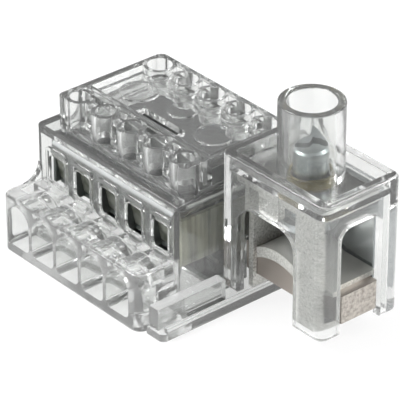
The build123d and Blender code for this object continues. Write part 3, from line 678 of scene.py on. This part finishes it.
class TERMINAL_OT_windows(bpy.types.Operator):
    """Give the upper wire entries their frames and lintels, and the housing its round top edge"""

    bl_idname = "terminal_block.windows"
    bl_label = "Framed Windows"

    def execute(self, context):
        size = context.scene.terminal_window
        places = [(FIRST_ENTRY_X + i * ENTRY_PITCH - size.shift, ENTRY_Z - size.drop)
                  for i in range(ENTRY_COUNT)]
        self.carve_housing(size, places)
        self.carve_rail(size, places)
        for i, (x, _) in enumerate(places):
            self.move_spring(f"upper_spring_{i + 1}", x)
        return {"FINISHED"}

    def carve_housing(self, size, places):
        """Swaps the plain windows for framed ones, rounds the top edges and thins the wall inside."""
        low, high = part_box("housing")
        housing = reshaped_copy("housing", "framed_housing")
        half, tall = size.width / 2, size.height / 2
        over = 1.5 * MILLIMETRE
        outside, inside = WALL_FACE_Y - over, WALL_FACE_Y + WALL + over
        first, last = places[0][0], places[-1][0]
        bottom, top = places[0][1] - tall - size.frame, places[0][1] + tall + size.lintel
        plain_frames = box_shape((first - FRAMES_LEFT, outside, FRAMES_BOTTOM),
                                 (last + FRAMES_RIGHT, WALL_FACE_Y, FRAMES_TOP))
        carve(housing, "DIFFERENCE", [plain_frames])
        frames = [prism_shape(rounded_outline((x - half - size.frame, bottom), (x + half + size.frame, top),
                                              size.radius), WALL_FACE_Y - size.rise, WALL_FACE_Y + WALL, 1)
                  for x, _ in places]
        carve(housing, "UNION", frames)
        steps = [box_shape((x - half, outside, z),
                           (x + half, WALL_FACE_Y - size.rise / 3, z + tall + size.lintel / 2))
                 for x, z in places]
        carve(housing, "DIFFERENCE", steps)
        holes = [prism_shape(rounded_outline((x - half, z - tall), (x + half, z + tall), size.radius),
                             outside, inside, 1) for x, z in places]
        carve(housing, "DIFFERENCE", holes)
        front = prism_shape(edge_outline((WALL_FACE_Y, high.z), 1, size.rim), low.x - over, high.x + over, 0)
        end = prism_shape(edge_outline((high.x, high.z), -1, size.rim), outside, high.y + over, 1)
        carve(housing, "DIFFERENCE", [front])
        carve(housing, "DIFFERENCE", [end])
        left = low.x + WALL
        thinned = box_shape((left, WALL_FACE_Y + THIN_WALL, THIN_BOTTOM), (-left, inside, THIN_TOP))
        carve(housing, "DIFFERENCE", [thinned])
        seat_in_place(housing, "housing")

    def carve_rail(self, size, places):
        """Moves the rail's front up to the thin wall as a comb: a bend above, a gap at each window."""
        low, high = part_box("upper_rail")
        rail = reshaped_copy("upper_rail", "combed_rail")
        over = 1.0 * MILLIMETRE
        half = size.width / 2 + size.margin
        gap_top = places[0][1] + size.height / 2 + size.margin
        front, back = low.y - RAIL_FORWARD, low.y + RAIL_SHEET
        carve(rail, "UNION", [box_shape((low.x, front, low.z), (high.x, back, high.z))])
        bend = prism_shape(edge_outline((front, high.z), 1, RAIL_BEND), low.x - over, high.x + over, 0)
        carve(rail, "DIFFERENCE", [bend])
        gaps = [box_shape((x - half, front - over, low.z - over), (x + half, back + over / 10, gap_top))
                for x, _ in places]
        carve(rail, "DIFFERENCE", gaps)
        seat_in_place(rail, "upper_rail")

    def move_spring(self, node, x_middle):
        """Brings a leaf spring up behind its window, and makes it as wide as the opening."""
        low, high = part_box(node)
        middle = (low.x + high.x) / 2
        spring = reshaped_copy(node, "moved_" + node, lambda x, y, z: (
            x_middle + (x - middle) * SPRING_WIDEN, y + SPRING_BACK - SPRING_LEAN * (high.z - z), z))
        seat_in_place(spring, node)


class TERMINAL_OT_clamp_sheet(bpy.types.Operator):
    """Raise the cap's tray and the clamp frame under it, and close the frame's rear cheek"""

    bl_idname = "terminal_block.clamp_sheet"
    bl_label = "Cap Tray and Clamp Frame"

    def execute(self, context):
        tray = raised_levels(CAP_RISES)
        cap = reshaped_copy("clamp_cap", "shallow_cap", lambda x, y, z: (x, y, moved_level(z, tray)))
        seat_in_place(cap, "clamp_cap")
        bends = raised_levels(FRAME_RISES)
        clamp = reshaped_copy("clamp_frame", "bent_clamp_frame",
                              lambda x, y, z: (x, y, moved_level(z, bends)))
        low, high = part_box("clamp_frame")
        front0 = low.y - FRAME_SHEET
        front1 = low.y + FRAME_PROUD + FRAME_SHEET + 0.01 * MILLIMETRE
        spans = ((low.x + FRAME_SHEET, FRAME_TAB_X0), (FRAME_TAB_X1, high.x - FRAME_STRAP))
        beside_tab = [box_shape((x0, front0, FRAME_BAND_Z), (x1, front1, FRAME_UNDER_Z)) for x0, x1 in spans]
        carve(clamp, "DIFFERENCE", beside_tab)
        rear0, rear1 = high.y - FRAME_PROUD - FRAME_SHEET, high.y - FRAME_PROUD
        cheek = box_shape((low.x + FRAME_SHEET / 2, rear0, low.z + 1.5 * FRAME_SHEET),
                          (high.x - FRAME_SHEET, rear1, FRAME_UNDER_Z + FRAME_SHEET / 2))
        carve(clamp, "UNION", [cheek])
        seat_in_place(clamp, "clamp_frame")
        return {"FINISHED"}


class TERMINAL_OT_mouldings(bpy.types.Operator):
    """Give the housing, base plate, cover and cap their clear plastic"""

    bl_idname = "terminal_block.mouldings"
    bl_label = "Clear Mouldings"

    def execute(self, context):
        tint = linear(context.scene.terminal_finish.plastic)
        shell = clear_polycarbonate("moulded_polycarbonate_housing", tint, clarity=0.96, thick_clarity=0.9,
                                    thick_top=9.8 * MILLIMETRE)
        dress(["housing"], shell)
        plate = clear_polycarbonate("moulded_polycarbonate_base", tint, clarity=0.88, thick_clarity=0.88,
                                    thick_top=1.0 * MILLIMETRE)
        dress(["base_plate"], plate)
        lid = clear_polycarbonate("moulded_polycarbonate_cover", tint, clarity=0.95, thick_clarity=0.92,
                                  thick_top=6.0 * MILLIMETRE)
        dress(["cover", "clamp_cap"], lid)
        return {"FINISHED"}


class TERMINAL_OT_conductors(bpy.types.Operator):
    """Give the busbar, rails and springs their metals"""

    bl_idname = "terminal_block.conductors"
    bl_label = "Busbar, Rails and Springs"

    def execute(self, context):
        finish = context.scene.terminal_finish
        bar = tinned_copper_bar("sheared_tinned_copper", linear(finish.tin), linear(finish.copper),
                                linear(finish.scar))
        dress(["busbar"], bar)
        # Copper sheet, stamped, bent and tin plated: dull grey, with a painted highlight along the bend and
        # painted shade on level faces
        sheet = satin_metal("stamped_tinned_copper", linear(finish.rail), linear(finish.rail_shade),
                            roughness=0.3, grain_mm=0.3, metallic=0.65, bend=linear(finish.rail_bend_painted_highlight),
                            top=linear(finish.rail_top_painted_shade))
        dress(RAIL_NODES, sheet)
        # The same, drawn upwards through the die: greenish, with upright streaks
        link = satin_metal("stamped_link_plate", linear(finish.link), linear(finish.link_shade),
                           roughness=0.45, grain_mm=0.5, metallic=0.35, cloud_mm=1.2, streak=0.08)
        dress(["link_plate"], link)
        # Stainless strip, cold rolled: a dark satin with soft clouds behind the windows
        strip = satin_metal("rolled_stainless_strip", linear(finish.spring), linear(finish.spring_shade),
                            roughness=0.3, grain_mm=0.2, metallic=0.35, cloud_mm=1.6)
        dress([name for name in frame["nodes"] if "_spring_" in name], strip)
        return {"FINISHED"}


class TERMINAL_OT_end_flap(bpy.types.Operator):
    """Fold the flap that closes the upper rail at its hidden left end"""

    bl_idname = "terminal_block.end_flap"
    bl_label = "Rail End Flap"

    def execute(self, context):
        low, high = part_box("upper_rail")
        size = context.scene.terminal_flap
        x0, x1 = low.x - size.thickness, low.x
        z0, z1 = low.z + size.inset, high.z - size.inset
        corners, faces = box_shape((x0, low.y, z0), (x1, high.y - size.inset, z1))
        mesh = bpy.data.meshes.new("rail_end_flap")
        mesh.from_pydata(corners, [], faces)
        flap = bpy.data.objects.new("rail_end_flap", mesh)
        context.scene.collection.objects.link(flap)
        mesh.materials.append(frame["nodes"]["upper_rail"].data.materials[0])
        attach(flap, "terminal")
        return {"FINISHED"}


class TERMINAL_OT_clamp(bpy.types.Operator):
    """Give the clamp frame, saddle, pad and rivets their plated steel"""

    bl_idname = "terminal_block.clamp"
    bl_label = "Clamp Sheet Metal"

    def execute(self, context):
        finish = context.scene.terminal_finish
        low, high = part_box("clamp_screw")
        axis = tuple((low + high) / 2)
        light, dark = linear(finish.zinc_light), linear(finish.zinc_dark)
        bent = zinc_plated_sheet("bent_zinc_plated_steel", light, dark, linear(finish.zinc_pits_and_painted_top_shade),
                                 linear(finish.chromate), linear(finish.cheek), axis, REAR_CHEEK_Y)
        dress(["clamp_frame"], bent)
        # Painted shade: away from the screw the saddle's upward faces take the dark grains' colour, which
        # its pits lean towards too
        pressed = zinc_plated_sheet("pressed_zinc_plated_steel", light, dark, dark, light, dark, axis,
                                    NO_CHEEK_Y)
        dress(["wire_saddle"], pressed)
        # Steel, turned, zinc plated and blue passivated: bright, with a cold cast
        blue = satin_metal("turned_blue_zinc_steel", linear(finish.screw), linear(finish.screw_shade),
                           roughness=0.3, grain_mm=0.25)
        rivets = [name for name in frame["nodes"] if name.startswith("rail_rivet")]
        dress(["pressure_pad", "clamp_screw"] + rivets, blue)
        return {"FINISHED"}


def threaded_zone(height, pitch):
    """Lowest and highest middle of the thread's ridge, on the CAD screw's widest part."""
    return height[0] + RIDGE_START * pitch, height[1] - RIDGE_END * pitch


def helical_ridge(axis, zone, radii, pitch):
    """Corners and faces of one closed ridge that winds up an axis and tapers off at both ends."""
    steps = 40
    rings = round((zone[1] - zone[0]) / pitch * steps)
    corners, faces = [], []
    for i in range(rings + 1):
        turn = 2 * math.pi * i / steps
        middle = zone[0] + pitch * i / steps
        taper = min(1.0, i / steps, (rings - i) / steps)
        crest = radii[0] + (radii[1] - radii[0]) * taper
        section = ((radii[0], -RIDGE_FOOT), (crest, -RIDGE_CREST), (crest, RIDGE_CREST),
                   (radii[0], RIDGE_FOOT))
        for radius, shift in section:
            corners.append((axis[0] + radius * math.cos(turn), axis[1] + radius * math.sin(turn),
                            middle + shift * pitch))
    for i in range(rings):
        for side in range(4):
            here, beside = 4 * i + side, 4 * i + (side + 1) % 4
            faces.append((here, beside, beside + 4, here + 4))
    last = 4 * rings
    return corners, faces + [(3, 2, 1, 0), (last, last + 1, last + 2, last + 3)]


class TERMINAL_OT_thread(bpy.types.Operator):
    """Cut the real thread on the clamping screw, in place of the plain one"""

    bl_idname = "terminal_block.thread"
    bl_label = "Screw Thread"

    def execute(self, context):
        settings = context.scene.terminal_thread
        source = frame["nodes"]["clamp_screw"].data
        low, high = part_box("clamp_screw")
        axis = (low + high) / 2
        wide = (high[0] - low[0]) / 2
        root = wide - settings.depth
        crest = wide - 0.02 * MILLIMETRE
        sunk = root - 0.04 * MILLIMETRE
        corners, widest = [], []
        for vertex in source.vertices:
            out = Vector((vertex.co.x - axis[0], vertex.co.y - axis[1], 0.0))
            if out.length > crest:
                widest.append(vertex.co.z)
                out = out.normalized() * root
            corners.append((axis[0] + out.x, axis[1] + out.y, vertex.co.z))
        core = (corners, [tuple(polygon.vertices) for polygon in source.polygons])
        zone = threaded_zone((min(widest), max(widest)), settings.pitch)
        ridge = helical_ridge(axis, zone, (sunk, crest), settings.pitch)
        mesh = closed_mesh("threaded_screw", [core, ridge])
        mesh.materials.append(source.materials[0])
        screw = bpy.data.objects.new("threaded_screw", mesh)
        context.scene.collection.objects.link(screw)
        seat_in_place(screw, "clamp_screw", "screw")
        return {"FINISHED"}


class TERMINAL_PT_sidebar(bpy.types.Panel):
    """Lists the block's steps in the 3D view's sidebar"""

    bl_label = "Terminal Block"
    bl_space_type = "VIEW_3D"
    bl_region_type = "UI"
    bl_category = "Terminal Block"

    def draw(self, context):
        for operator in OPERATORS:
            self.layout.operator(operator.bl_idname)


OPERATORS = (TERMINAL_OT_stage, TERMINAL_OT_camera, TERMINAL_OT_mouldings, TERMINAL_OT_conductors,
             TERMINAL_OT_end_flap, TERMINAL_OT_clamp, TERMINAL_OT_thread, TERMINAL_OT_windows,
             TERMINAL_OT_clamp_sheet)
SETTINGS = (CameraSettings, StageSettings, FinishSettings, ThreadSettings, WindowSettings, FlapSettings)
CLASSES = SETTINGS + OPERATORS + (TERMINAL_PT_sidebar,)
GROUPS = {"terminal_camera": CameraSettings, "terminal_stage": StageSettings,
          "terminal_finish": FinishSettings, "terminal_thread": ThreadSettings,
          "terminal_window": WindowSettings, "terminal_flap": FlapSettings}


def register():
    """Registers the classes and hangs the settings on the scene."""
    for item in CLASSES:
        bpy.utils.register_class(item)
    for name, group in GROUPS.items():
        setattr(bpy.types.Scene, name, PointerProperty(type=group))


def unregister():
    """Takes the settings and classes away again."""
    for name in GROUPS:
        delattr(bpy.types.Scene, name)
    for item in reversed(CLASSES):
        bpy.utils.unregister_class(item)


def main():
    """Builds the dressed block and its stage."""
    register()
    bpy.ops.terminal_block.stage()
    bpy.ops.terminal_block.camera()
    bpy.ops.terminal_block.mouldings()
    bpy.ops.terminal_block.conductors()
    bpy.ops.terminal_block.end_flap()
    bpy.ops.terminal_block.clamp()
    bpy.ops.terminal_block.thread()
    bpy.ops.terminal_block.windows()
    bpy.ops.terminal_block.clamp_sheet()


if __name__ == "__main__":
    main()
